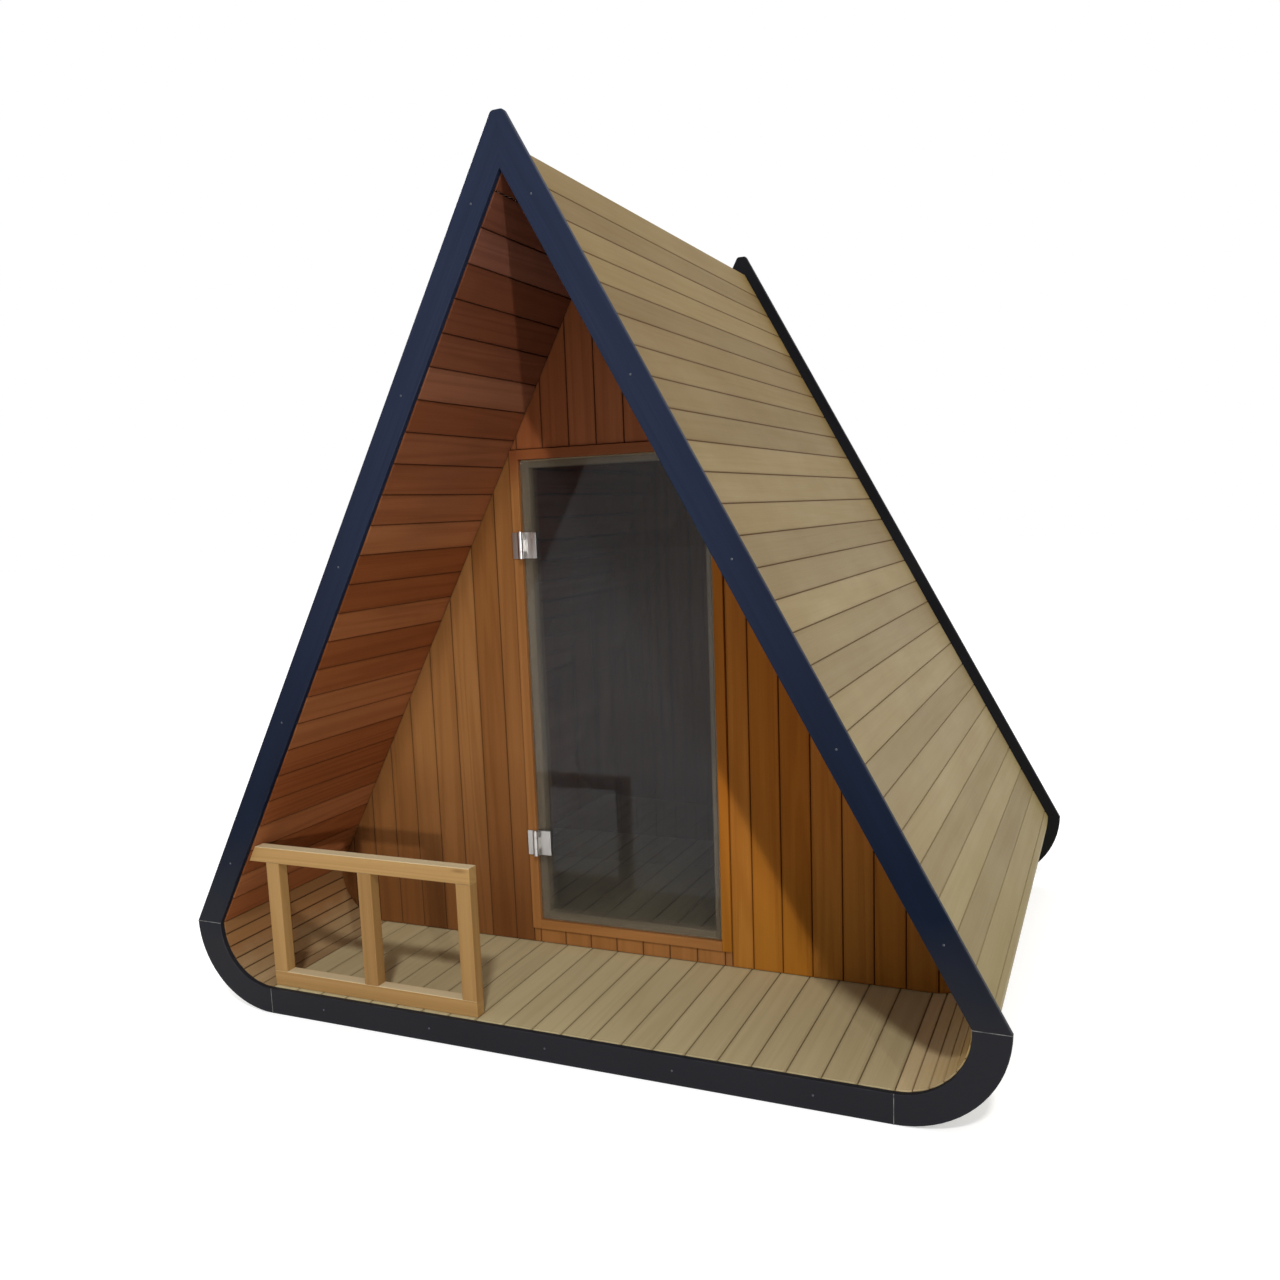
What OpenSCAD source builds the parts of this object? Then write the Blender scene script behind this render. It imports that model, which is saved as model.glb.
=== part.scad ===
// A-frame sauna cabin: a steep shell with rounded lower corners, dark end rims,
// an open porch with a low railing, and a frameless glass door on clamp hinges.
// X runs to the right seen from the front, the front faces -Y, Z is up.
// The origin is on the ground below the middle of the cabin. Sizes are in millimetres.

/* [Cabin] */
// Width of the cabin over the end rims
body_w = 2436; // [2300:1:2600]
// Height of the cabin to the cut tip of the end rims
body_h = 2470; // [2400:1:2650]
// Length of the cabin over the end rims
body_l = 1970; // [1700:1:2600]
// Radius of the rounded lower corners
corner_r = 270; // [230:1:310]
// Width of the flat at the tip of each end rim
tip_flat = 34; // [10:1:50]

/* [End rims] */
// Width of a rim board seen from the front
rim_w = 80; // [65:1:100]
// Thickness of a rim board along the cabin
rim_t = 18; // [12:1:30]
// Distance that the rims stand out beyond the shell
rim_proud = 38; // [25:1:45]

/* [Shell] */
// Thickness of the staves and of the floor
stave_t = 45; // [36:1:60]
// Width of the flat along the ridge
ridge_flat = 26; // [10:1:40]

/* [End walls] */
// Distance from the front of the cabin to the front wall
porch_depth = 604; // [500:1:800]
// Thickness of the end walls
wall_t = 40; // [30:1:60]
// Distance from the back of the cabin to the back wall
back_inset = 60; // [30:1:150]
// Gap between an end wall and the shell that it stands in
seat_gap = 0.3; // [0.1:0.1:0.8]

/* [Door frame] */
// Clear width between the jambs
door_w = 630; // [580:1:660]
// Distance from the tip of the cabin down to the underside of the head
head_drop = 808; // [780:1:950]
// Height of the top of the threshold above the floor
sill_h = 81; // [60:1:120]
// Width of the frame members seen from the front
frame_w = 31; // [31:1:46]
// Distance that the frame stands proud of the front wall
frame_proud = 8; // [3:1:15]
// Depth of the frame members along the cabin
frame_d = 56; // [50:1:80]
// Width of the stop behind the glass
stop_w = 25; // [15:1:35]

/* [Glass door] */
// Thickness of the glass
glass_t = 8; // [6:1:10]
// Distance of the glass behind the face of the frame
glass_recess = 5; // [5:1:10]
// Gap between the glass and the frame
door_gap = 5; // [4:0.5:7]
// Free space between the back of the hinge clamps and the stop
stop_clear = 5; // [3:0.5:8]

/* [Hinges] */
// Height of a hinge
hinge_h = 82; // [75:1:120]
// Distance from an end of the glass to the middle of the hinge near it
hinge_inset = 260; // [150:1:400]
// Width of the leaf on the jamb
leaf_w = 30; // [24:1:31]
// Width of the clamp plates on the glass
clamp_w = 45; // [40:1:70]
// Thickness of the hinge plates
plate_t = 4; // [3:0.5:4.5]
// Diameter of the barrel
barrel_d = 19; // [16:0.5:22]
// Distance of the barrel from the face of the frame
barrel_stand = 2; // [1:0.5:4]
// Height of the moving knuckle in the middle of the barrel
knuckle_h = 38; // [28:1:50]
// Gap between the knuckles, and beside the moving one
knuckle_gap = 0.6; // [0.3:0.1:1]
// Diameter of the hinge pin
pin_d = 8; // [6:0.5:10]
// Radial clearance of the pin in the knuckles
pin_clear = 0.05; // [0.02:0.01:0.08]
// Diameter of the pin's head
pin_head_d = 12; // [11:0.5:14]
// Height of the pin's head
pin_head_h = 3; // [2:0.5:5]
// Diameter of the clamp sleeves through the glass
sleeve_d = 10; // [6:0.5:14]
// Radial clearance of the sleeves in the glass
sleeve_clear = 0.5; // [0.2:0.1:1]
// Distance between the two sleeves of a hinge
sleeve_pitch = 50; // [30:1:60]

/* [Railing] */
// Height of the railing above the floor
rail_h = 440; // [350:1:600]
// Width of the railing members seen from the front
rail_w = 48; // [36:1:60]
// Depth of the railing members along the cabin
rail_d = 40; // [30:1:50]
// Distance of the railing behind the front rim
rail_gap = 8; // [2:1:30]
// Distance of the railing's free end from the middle of the cabin
rail_end = 225; // [200:1:320]

/* [Hidden] */
$fn = 96;
half_w = body_w/2;
half_l = body_l/2;
corner_x = half_w - corner_r;
lean = atan((half_w - tip_flat/2)/(body_h - corner_r));
floor_z = rim_proud + stave_t;
ridge_z = apex_z(rim_proud) - ridge_flat/2/tan(lean);
front_y = -half_l;
shell_y0 = -half_l + rim_t;
shell_y1 = half_l - rim_t;
wall_y = front_y + porch_depth;
back_y = half_l - back_inset - wall_t;
room_o = floor_z + seat_gap;
frame_y = wall_y - frame_proud;
stop_y = frame_y + glass_recess + glass_t + plate_t + stop_clear;
frame_end_y = frame_y + frame_d;
door_z0 = floor_z + sill_h;
door_z1 = body_h - head_drop;
frame_x = door_w/2 + frame_w;
frame_z0 = door_z0 - frame_w;
frame_z1 = door_z1 + frame_w;
glass_y = frame_y + glass_recess;
glass_x = door_w/2 - door_gap;
glass_z0 = door_z0 + door_gap;
glass_z1 = door_z1 - door_gap;
axis_x = -door_w/2 + door_gap/2;
axis_y = frame_y - barrel_stand - barrel_d/2;
upper_z = glass_z1 - hinge_inset;
lower_z = glass_z0 + hinge_inset;
rail_y = shell_y0 + rail_gap;
rail_z = floor_z + rail_h;
post_x0 = -corner_x;
post_x2 = -rail_end - rail_w;
post_x1 = (post_x0 + post_x2)/2;
past = 5;

rim_col = "#262E45";
shell_col = "#A08C63";
wall_col = "#8C5C30";
frame_col = "#966437";
glass_col = [0.21, 0.19, 0.18, 0.55];
metal_col = "#BEB9B4";
rail_col = "#C89A5A";

// The outline is a family of parallel lines. An offset counts inward from the outside of the end rims.
function apex_z(o) = body_h + tip_flat/2/tan(lean) - o/sin(lean);
function slope_x(o, z) = (apex_z(o) - z)*tan(lean);
function arc_r(o) =
    let (a = slope_x(o, corner_r) - corner_x, b = corner_r - o)
    (a*a + b*b)/(2*b);

// Extrudes a front view from y0 to y1
module along_y(y0, y1) {
    translate([0, y1, 0])
        rotate([90, 0, 0])
            linear_extrude(y1 - y0)
                children();
}

module left_side() {
    mirror([1, 0, 0])
        children();
}

// Straight leaning band between two offsets, down to the corner
module slope_band(outer, inner, top_z) {
    polygon([
        [slope_x(outer, corner_r), corner_r],
        [slope_x(outer, top_z), top_z],
        [0, top_z],
        [0, apex_z(inner)],
        [slope_x(inner, corner_r), corner_r]
    ]);
}

module corner_disc(o) {
    translate([corner_x, o + arc_r(o)])
        circle(arc_r(o));
}

module corner_field() {
    translate([corner_x, 0])
        square([corner_r, corner_r]);
}

// Rounded corner between two offsets
module corner_band(outer, inner) {
    intersection() {
        difference() {
            corner_disc(outer);
            corner_disc(inner);
        }
        corner_field();
    }
}

// Level band between two offsets, from corner to corner
module bottom_band(outer, inner) {
    translate([-corner_x, outer])
        square([2*corner_x, inner - outer]);
}

// Half of the space inside an offset, from the middle of the cabin to the right
module half_room(o) {
    polygon([
        [0, o],
        [corner_x, o],
        [corner_x, corner_r],
        [slope_x(o, corner_r), corner_r],
        [0, apex_z(o)]
    ]);
    intersection() {
        corner_disc(o);
        corner_field();
    }
}

module room(o) {
    half_room(o);
    left_side()
        half_room(o);
}

// Front view of a rectangle
module panel(x0, x1, z0, z1) {
    translate([x0, z0])
        square([x1 - x0, z1 - z0]);
}

module rim_slope(y) {
    along_y(y, y + rim_t)
        slope_band(0, rim_w, body_h);
}

module rim_corner(y) {
    along_y(y, y + rim_t)
        corner_band(0, rim_w);
}

module rim_bottom(y) {
    along_y(y, y + rim_t)
        bottom_band(0, rim_w);
}

module front_rim_left() {
    color(rim_col)
        left_side()
            rim_slope(front_y);
}

module front_rim_right() {
    color(rim_col)
        rim_slope(front_y);
}

module front_rim_left_corner() {
    color(rim_col)
        left_side()
            rim_corner(front_y);
}

module front_rim_right_corner() {
    color(rim_col)
        rim_corner(front_y);
}

module front_rim_bottom() {
    color(rim_col)
        rim_bottom(front_y);
}

module back_rim_left() {
    color(rim_col)
        left_side()
            rim_slope(shell_y1);
}

module back_rim_right() {
    color(rim_col)
        rim_slope(shell_y1);
}

module back_rim_left_corner() {
    color(rim_col)
        left_side()
            rim_corner(shell_y1);
}

module back_rim_right_corner() {
    color(rim_col)
        rim_corner(shell_y1);
}

module back_rim_bottom() {
    color(rim_col)
        rim_bottom(shell_y1);
}

module shell_slope() {
    along_y(shell_y0, shell_y1)
        slope_band(rim_proud, floor_z, ridge_z);
}

module shell_corner() {
    along_y(shell_y0, shell_y1)
        corner_band(rim_proud, floor_z);
}

module left_slope() {
    color(shell_col)
        left_side()
            shell_slope();
}

module right_slope() {
    color(shell_col)
        shell_slope();
}

module left_corner() {
    color(shell_col)
        left_side()
            shell_corner();
}

module right_corner() {
    color(shell_col)
        shell_corner();
}

module floor_deck() {
    color(shell_col)
        along_y(shell_y0, shell_y1)
            bottom_band(rim_proud, floor_z);
}

// Piece of the front wall inside a rectangle of the front view
module front_wall_piece(x0, x1, z0, z1) {
    color(wall_col)
        along_y(wall_y, wall_y + wall_t)
            intersection() {
                room(room_o);
                panel(x0, x1, z0, z1);
            }
}

module front_wall_left() {
    front_wall_piece(-half_w, -frame_x, 0, body_h);
}

module front_wall_right() {
    front_wall_piece(frame_x, half_w, 0, body_h);
}

module front_wall_gable() {
    front_wall_piece(-frame_x, frame_x, frame_z1, body_h);
}

module front_wall_sill() {
    front_wall_piece(-frame_x, frame_x, 0, frame_z0);
}

module back_wall() {
    color(wall_col)
        along_y(back_y, back_y + wall_t)
            room(room_o);
}

// Front view of a frame member, cut back where it would run into the slopes of the shell
module frame_member(x0, x1, z0, z1) {
    intersection() {
        room(room_o);
        panel(x0, x1, z0, z1);
    }
}

// Upright of the door frame. Behind the glass it is wider by the stop.
module jamb() {
    color(frame_col) {
        along_y(frame_y, frame_end_y)
            frame_member(door_w/2, frame_x, frame_z0, frame_z1);
        along_y(stop_y, frame_end_y)
            frame_member(door_w/2 - stop_w, frame_x, door_z0, door_z1);
    }
}

module door_jamb_left() {
    left_side()
        jamb();
}

module door_jamb_right() {
    jamb();
}

// Level member of the door frame. Between the stops of the jambs it is wider by its own stop.
module cross_piece(z0, z1, stop_z0, stop_z1) {
    color(frame_col) {
        along_y(frame_y, frame_end_y)
            frame_member(-door_w/2, door_w/2, z0, z1);
        along_y(stop_y, frame_end_y)
            frame_member(-door_w/2 + stop_w, door_w/2 - stop_w, stop_z0, stop_z1);
    }
}

module door_head() {
    cross_piece(door_z1, frame_z1, door_z1 - stop_w, frame_z1);
}

module door_threshold() {
    cross_piece(frame_z0, door_z0, frame_z0, door_z0 + stop_w);
}

// Middle of a clamp plate on the glass
function clamp_x() = -glass_x + clamp_w/2;

module door_glass() {
    color(glass_col)
        difference() {
            along_y(glass_y, glass_y + glass_t)
                panel(-glass_x, glass_x, glass_z0, glass_z1);
            for (z = [lower_z, upper_z], side = [-1, 1])
                translate([clamp_x(), glass_y + glass_t + past, z + side*sleeve_pitch/2])
                    rotate([90, 0, 0])
                        cylinder(d = sleeve_d + 2*sleeve_clear, h = glass_t + 2*past);
        }
}

// Part of the barrel from z0 to z1, with its bore
module barrel(z0, z1) {
    translate([axis_x, axis_y, z0])
        cylinder(d = barrel_d, h = z1 - z0);
}

module bore(z) {
    translate([axis_x, axis_y, z - hinge_h/2 - past])
        cylinder(d = pin_d + 2*pin_clear, h = hinge_h + 2*past);
}

module block(x0, x1, y0, y1, z0, z1) {
    translate([x0, y0, z0])
        cube([x1 - x0, y1 - y0, z1 - z0]);
}

// Half of the room that the fixed leaf leaves for the moving knuckle
function knuckle_room() = knuckle_h/2 + knuckle_gap;

// Fixed leaf: a plate on the jamb with a knuckle at each end of the barrel
module hinge_leaf(z) {
    color(metal_col)
        difference() {
            union() {
                block(-door_w/2 - leaf_w, -door_w/2, frame_y - plate_t, frame_y, z - hinge_h/2, z + hinge_h/2);
                for (side = [0, 1])
                    mirror([0, 0, side])
                        translate([0, 0, side == 1 ? -z : z]) {
                            barrel(knuckle_room(), hinge_h/2);
                            block(axis_x - barrel_d/2, axis_x, axis_y, frame_y, knuckle_room(), hinge_h/2);
                        }
            }
            block(axis_x - barrel_d/2 - knuckle_gap, 0, axis_y - barrel_d, frame_y + past,
                z - knuckle_room(), z + knuckle_room());
            bore(z);
        }
}

// Moving clamp: the middle knuckle, a plate on each face of the glass, and two sleeves through it
module hinge_clamp(z) {
    back = glass_y + glass_t;
    color(metal_col)
        difference() {
            union() {
                barrel(z - knuckle_h/2, z + knuckle_h/2);
                block(axis_x, axis_x + barrel_d/2, axis_y, glass_y, z - knuckle_h/2, z + knuckle_h/2);
                block(-glass_x, -glass_x + clamp_w, glass_y - plate_t, glass_y, z - hinge_h/2, z + hinge_h/2);
                block(-glass_x, -glass_x + clamp_w, back, back + plate_t, z - hinge_h/2, z + hinge_h/2);
                for (side = [-1, 1])
                    translate([clamp_x(), back + plate_t/2, z + side*sleeve_pitch/2])
                        rotate([90, 0, 0])
                            cylinder(d = sleeve_d, h = glass_t + plate_t);
            }
            bore(z);
        }
}

module hinge_pin(z) {
    color(metal_col)
        translate([axis_x, axis_y, z - hinge_h/2]) {
            cylinder(d = pin_d, h = hinge_h);
            translate([0, 0, hinge_h])
                cylinder(d = pin_head_d, h = pin_head_h);
        }
}

module hinge_upper_leaf() {
    hinge_leaf(upper_z);
}

module hinge_upper_clamp() {
    hinge_clamp(upper_z);
}

module hinge_upper_pin() {
    hinge_pin(upper_z);
}

module hinge_lower_leaf() {
    hinge_leaf(lower_z);
}

module hinge_lower_clamp() {
    hinge_clamp(lower_z);
}

module hinge_lower_pin() {
    hinge_pin(lower_z);
}

// The top rail runs on to the left slope and is cut to its lean
module railing_top_rail() {
    color(rail_col)
        along_y(rail_y, rail_y + rail_d)
            polygon([
                [-slope_x(room_o, rail_z - rail_w), rail_z - rail_w],
                [-rail_end, rail_z - rail_w],
                [-rail_end, rail_z],
                [-slope_x(room_o, rail_z), rail_z]
            ]);
}

module railing_bottom_rail() {
    color(rail_col)
        along_y(rail_y, rail_y + rail_d)
            panel(-corner_x, -rail_end, floor_z, floor_z + rail_w);
}

module railing_post(x) {
    color(rail_col)
        along_y(rail_y, rail_y + rail_d)
            panel(x, x + rail_w, floor_z + rail_w, rail_z - rail_w);
}

module railing_post_left() {
    railing_post(post_x0);
}

module railing_post_middle() {
    railing_post(post_x1);
}

module railing_post_right() {
    railing_post(post_x2);
}

front_rim_left();
front_rim_right();
front_rim_left_corner();
front_rim_right_corner();
front_rim_bottom();
back_rim_left();
back_rim_right();
back_rim_left_corner();
back_rim_right_corner();
back_rim_bottom();
left_slope();
right_slope();
left_corner();
right_corner();
floor_deck();
front_wall_left();
front_wall_right();
front_wall_gable();
front_wall_sill();
back_wall();
door_jamb_left();
door_jamb_right();
door_head();
door_threshold();
door_glass();
hinge_upper_leaf();
hinge_upper_clamp();
hinge_upper_pin();
hinge_lower_leaf();
hinge_lower_clamp();
hinge_lower_pin();
railing_top_rail();
railing_bottom_rail();
railing_post_left();
railing_post_middle();
railing_post_right();
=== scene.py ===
import math
import random

import bmesh
import bpy
from mathutils import Matrix, Vector


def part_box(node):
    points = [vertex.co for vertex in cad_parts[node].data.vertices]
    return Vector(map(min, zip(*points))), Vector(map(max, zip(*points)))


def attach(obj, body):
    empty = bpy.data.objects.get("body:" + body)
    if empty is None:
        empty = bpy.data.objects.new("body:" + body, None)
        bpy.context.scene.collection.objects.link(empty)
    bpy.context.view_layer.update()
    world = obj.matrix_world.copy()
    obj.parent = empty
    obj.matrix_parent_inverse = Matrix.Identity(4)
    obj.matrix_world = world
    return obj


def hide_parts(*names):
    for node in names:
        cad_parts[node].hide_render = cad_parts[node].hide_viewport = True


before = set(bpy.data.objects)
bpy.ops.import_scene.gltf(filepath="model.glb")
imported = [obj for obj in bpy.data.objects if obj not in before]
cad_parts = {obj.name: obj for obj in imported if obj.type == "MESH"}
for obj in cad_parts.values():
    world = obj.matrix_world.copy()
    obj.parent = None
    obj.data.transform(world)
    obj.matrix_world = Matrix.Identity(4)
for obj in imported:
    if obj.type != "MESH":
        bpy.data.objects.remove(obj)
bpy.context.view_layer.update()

# Sizes of the cabin, in metres. An offset counts inward from the outside of the end rims.
BODY_W, BODY_H, BODY_L = 2.436, 2.470, 1.970
CORNER_R = 0.270
TIP_FLAT = 0.034
RIM_W, RIM_T, RIM_PROUD = 0.080, 0.018, 0.038
STAVE_T = 0.045
RIDGE_FLAT = 0.026
WALL_T = 0.040
SEAT_GAP = 0.0003

HALF_W, HALF_L = BODY_W / 2, BODY_L / 2
CORNER_X = HALF_W - CORNER_R
LEAN = math.atan((HALF_W - TIP_FLAT / 2) / (BODY_H - CORNER_R))
FLOOR_O = RIM_PROUD + STAVE_T
ROOM_O = FLOOR_O + SEAT_GAP
FRONT_Y = -HALF_L
SHELL_Y0, SHELL_Y1 = FRONT_Y + RIM_T, HALF_L - RIM_T

# Boards
STAVE_PITCH = 0.092
FIRST_STAVE = 0.0225
FLOOR_BOARDS = 21
CORNER_STAVES = 7
GROOVE_W, GROOVE_D = 0.0022, 0.0055
OUTER_GROOVE_D = 0.0036
ARRIS = 0.0012
ARRIS_DROP = ARRIS * 0.4
SOFT_EDGE = 0.007
JOINT = 0.00005
EASE_STEPS = 3
STRAIGHT_ON = 0.9999
GRAIN_SPREAD = 40
ARC_PER_CHORD = 1.1
LEAST_SOFT_AREA, LEAST_SOFT_SHARE = 0.004, 0.3

# Seam values, which the shaders read: from 0 on a board's face to 1 at the bottom of a groove
SOFT_SEAM, ARRIS_SEAM, LIP_SEAM, GROOVE_SEAM = 0.18, 0.35, 0.5, 1.0
RUB_SEAM = 0.35


def apex_z(offset):
    return BODY_H + TIP_FLAT / 2 / math.tan(LEAN) - offset / math.sin(LEAN)


def slope_x(offset, z):
    return (apex_z(offset) - z) * math.tan(LEAN)


RIDGE_Z = apex_z(RIM_PROUD) - RIDGE_FLAT / 2 / math.tan(LEAN)


def corner_point(offset, part):
    """Point of the right rounded corner: part 0 is at the bottom, part 1 where the slope starts."""
    run = slope_x(offset, CORNER_R) - CORNER_X
    rise = CORNER_R - offset
    radius = (run * run + rise * rise) / (2 * rise)
    middle_z = offset + radius
    turn_end = math.atan2(CORNER_R - middle_z, run)
    turn = -math.pi / 2 + (turn_end + math.pi / 2) * part
    return Vector((CORNER_X + radius * math.cos(turn), middle_z + radius * math.sin(turn)))


# Outlines are lists of points in the front view. Those that cut takes hold (point, seam).

def cut(outline, point, keep):
    """The part of an outline that lies on the keep side of a line through point."""
    kept = []
    point, keep = Vector(point), Vector(keep)
    for i, (here, seam) in enumerate(outline):
        after, seam_after = outline[(i + 1) % len(outline)]
        d0, d1 = (here - point).dot(keep), (after - point).dot(keep)
        if d0 >= 0:
            kept.append((here, seam))
        if (d0 >= 0) != (d1 >= 0):
            share = d0 / (d0 - d1)
            kept.append((here.lerp(after, share), seam + (seam_after - seam) * share))
    return kept


def without_short_sides(points, shortest):
    kept = []
    for p in points:
        if not kept or (p - kept[-1]).length > shortest:
            kept.append(p)
    while len(kept) > 2 and (kept[0] - kept[-1]).length <= shortest:
        kept.pop()
    return kept


def area_of(points):
    return sum(a.x * b.y - b.x * a.y for a, b in zip(points, points[1:] + points[:1])) / 2


def inset(points, depth, held=()):
    """The outline moved inward by depth, apart from the held sides. The points run anticlockwise."""
    moved = []
    count = len(points)
    for i, p in enumerate(points):
        before = (p - points[i - 1]).normalized()
        after = (points[(i + 1) % count] - p).normalized()
        n0, n1 = Vector((-before.y, before.x)), Vector((-after.y, after.x))
        d0 = JOINT if (i - 1) % count in held else depth
        d1 = JOINT if i in held else depth
        turn = n0.dot(n1)
        if turn > STRAIGHT_ON:
            moved.append(p + n0 * ((d0 + d1) / 2))
        else:
            moved.append(p + (n0 * (d0 - d1 * turn) + n1 * (d1 - d0 * turn)) / (1 - turn * turn))
    return moved


def rounded(points, radii, steps=4):
    """The outline with an arc in place of each corner that has a radius."""
    result = []
    count = len(points)
    for i, p in enumerate(points):
        radius = radii[i]
        if radius <= 0:
            result.append(p)
            continue
        to_before = (points[i - 1] - p).normalized()
        to_after = (points[(i + 1) % count] - p).normalized()
        half = to_before.angle(to_after) / 2
        reach = radius / math.tan(half)
        middle = p + (to_before + to_after).normalized() * (radius / math.sin(half))
        start, end = p + to_before * reach - middle, p + to_after * reach - middle
        whole = start.angle_signed(end)
        for k in range(steps + 1):
            turn = -whole * k / steps
            result.append(middle + Vector((
                start.x * math.cos(turn) - start.y * math.sin(turn),
                start.x * math.sin(turn) + start.y * math.cos(turn))))
    return result


def box_outline(x0, x1, z0, z1):
    return [Vector((x0, z0)), Vector((x1, z0)), Vector((x1, z1)), Vector((x0, z1))]


class Timber:
    """The boards of one piece. Each keeps its own grain position and tone."""

    def __init__(self, seed):
        self.points, self.faces = [], []
        self.grain, self.tone, self.seam = [], [], []
        self.draw = random.Random(seed)

    def board(self, rings, seams, run, tone=None):
        """Adds a closed board from rings of points. run turns a point into (along, across, depth)."""
        first = len(self.points)
        count = len(rings[0])
        shift = Vector([self.draw.uniform(0, GRAIN_SPREAD) for _ in range(3)])
        tone = self.draw.random() if tone is None else tone
        for ring, ring_seams in zip(rings, seams):
            for p, seam in zip(ring, ring_seams):
                self.points.append(p)
                self.grain.append(Vector(run(p)) + shift)
                self.tone.append(tone)
                self.seam.append(seam)
        for r in range(len(rings) - 1):
            a, b = first + r * count, first + (r + 1) * count
            for i in range(count):
                j = (i + 1) % count
                self.faces.append((a + i, a + j, b + j, b + i))
        self.faces.append(tuple(range(first, first + count)))
        last = first + (len(rings) - 1) * count
        self.faces.append(tuple(range(last, last + count)))

    def length_board(self, outline, y0, y1, run, tone=None):
        """A board that runs along the cabin, from its cross-section in the front view."""
        seams = [seam for _, seam in outline]
        rings = [[Vector((p.x, y, p.y)) for p, _ in outline] for y in (y0, y1)]
        self.board(rings, [seams, seams], run, tone)

    def grooved_board(self, points, y0, y1, run, tone=None):
        """A board that faces the front, with half a groove along its edges on both faces."""
        levels = [
            (y0, GROOVE_W + ARRIS, ARRIS_SEAM),
            (y0 + ARRIS_DROP, GROOVE_W, LIP_SEAM),
            (y0 + GROOVE_D, JOINT, GROOVE_SEAM),
            (y1 - GROOVE_D, JOINT, GROOVE_SEAM),
            (y1 - ARRIS_DROP, GROOVE_W, LIP_SEAM),
            (y1, GROOVE_W + ARRIS, ARRIS_SEAM),
        ]
        soft = GROOVE_W + ARRIS + SOFT_EDGE
        area = area_of(points)
        if area > LEAST_SOFT_AREA and abs(area_of(inset(points, soft))) > LEAST_SOFT_SHARE * area:
            levels = [(y0, soft, SOFT_SEAM)] + levels + [(y1, soft, SOFT_SEAM)]
        rings = [[Vector((p.x, y, p.y)) for p in inset(points, depth)] for y, depth, _ in levels]
        self.board(rings, [[seam] * len(points) for _, _, seam in levels], run, tone)

    def plain_board(self, points, y0, y1, run, ease, held=(), tone=None):
        """A board that faces the front, with rounded arrises apart from its held sides."""
        levels = []
        for k in range(EASE_STEPS + 1):
            turn = math.radians(90 * k / EASE_STEPS)
            depth, rise = ease * (1 - math.sin(turn)), ease * (1 - math.cos(turn))
            levels.append((rise, max(depth, JOINT), RUB_SEAM if 0 < k < EASE_STEPS else 0.0))
        levels = [(y0 + rise, depth, rub) for rise, depth, rub in levels] + [
            (y1 - rise, depth, rub) for rise, depth, rub in reversed(levels)]
        rings = [[Vector((p.x, y, p.y)) for p in inset(points, depth, held)] for y, depth, _ in levels]
        self.board(rings, [[rub] * len(points) for _, _, rub in levels], run, tone)

    def mirrored(self):
        """The same boards on the other side of the cabin."""
        other = Timber(0)
        other.points = [Vector((-p.x, p.y, p.z)) for p in self.points]
        other.faces = [tuple(reversed(f)) for f in self.faces]
        other.grain, other.tone, other.seam = self.grain, self.tone, self.seam
        return other

    def piece(self, name, finishes, body, nodes, slot, pick=None, sharp=12):
        """Makes the piece. pick gives a face's finish, sharp is the least angle of a sharp edge in degrees."""
        mesh = bpy.data.meshes.new(name)
        mesh.from_pydata([tuple(p) for p in self.points], [], self.faces)
        work = bmesh.new()
        work.from_mesh(mesh)
        bmesh.ops.recalc_face_normals(work, faces=work.faces)
        work.to_mesh(mesh)
        work.free()
        grain = mesh.attributes.new("grain", "FLOAT_VECTOR", "POINT")
        grain.data.foreach_set("vector", [c for g in self.grain for c in g])
        for label, values in (("tone", self.tone), ("seam", self.seam)):
            mesh.attributes.new(label, "FLOAT", "POINT").data.foreach_set("value", values)
        for finish in finishes:
            mesh.materials.append(finish)
        if pick:
            for polygon in mesh.polygons:
                polygon.material_index = pick(polygon.center, polygon.normal)
        mesh.shade_smooth()
        mesh.set_sharp_from_angle(angle=math.radians(sharp))
        piece = bpy.data.objects.new(name, mesh)
        bpy.context.collection.objects.link(piece)
        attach(piece, body)
        if nodes:
            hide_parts(*nodes)


# Shader helpers

def new_group(name, inputs, outputs):
    group = bpy.data.node_groups.new(name, "ShaderNodeTree")
    for label, kind, value in inputs:
        group.interface.new_socket(label, in_out="INPUT", socket_type=kind).default_value = value
    for label, kind in outputs:
        group.interface.new_socket(label, in_out="OUTPUT", socket_type=kind)
    return group, group.nodes.new("NodeGroupInput"), group.nodes.new("NodeGroupOutput")


def feed(tree, socket, source):
    """Links a socket to a node's output, or sets the socket's own value."""
    if isinstance(source, bpy.types.NodeSocket):
        tree.links.new(source, socket)
    else:
        socket.default_value = source


def feed_named(tree, made, sources):
    for label, source in sources.items():
        feed(tree, made.inputs[label.replace("_", " ")], source)


def node(tree, kind, links=None, **values):
    made = tree.nodes.new(kind)
    for key, value in values.items():
        setattr(made, key, value)
    for socket, source in (links or {}).items():
        feed(tree, made.inputs[socket], source)
    return made


def maths(tree, operation, a, b=None, clamp=False):
    made = node(tree, "ShaderNodeMath", {0: a} if b is None else {0: a, 1: b}, operation=operation)
    made.use_clamp = clamp
    return made.outputs[0]


def mixed(tree, factor, a, b, blend="MIX"):
    made = node(tree, "ShaderNodeMix", data_type="RGBA", blend_type=blend)
    for socket, source in ((0, factor), (6, a), (7, b)):
        feed(tree, made.inputs[socket], source)
    return made.outputs[2]


def ranged(tree, value, low, high, to_low=0.0, to_high=1.0):
    made = node(tree, "ShaderNodeMapRange", {"Value": value, "From Min": low, "From Max": high,
                                             "To Min": to_low, "To Max": to_high})
    return made.outputs[0]


def object_place(tree):
    return node(tree, "ShaderNodeTexCoord").outputs["Object"]


def height_of(tree, place):
    return node(tree, "ShaderNodeSeparateXYZ", {0: place}).outputs["Z"]


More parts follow.
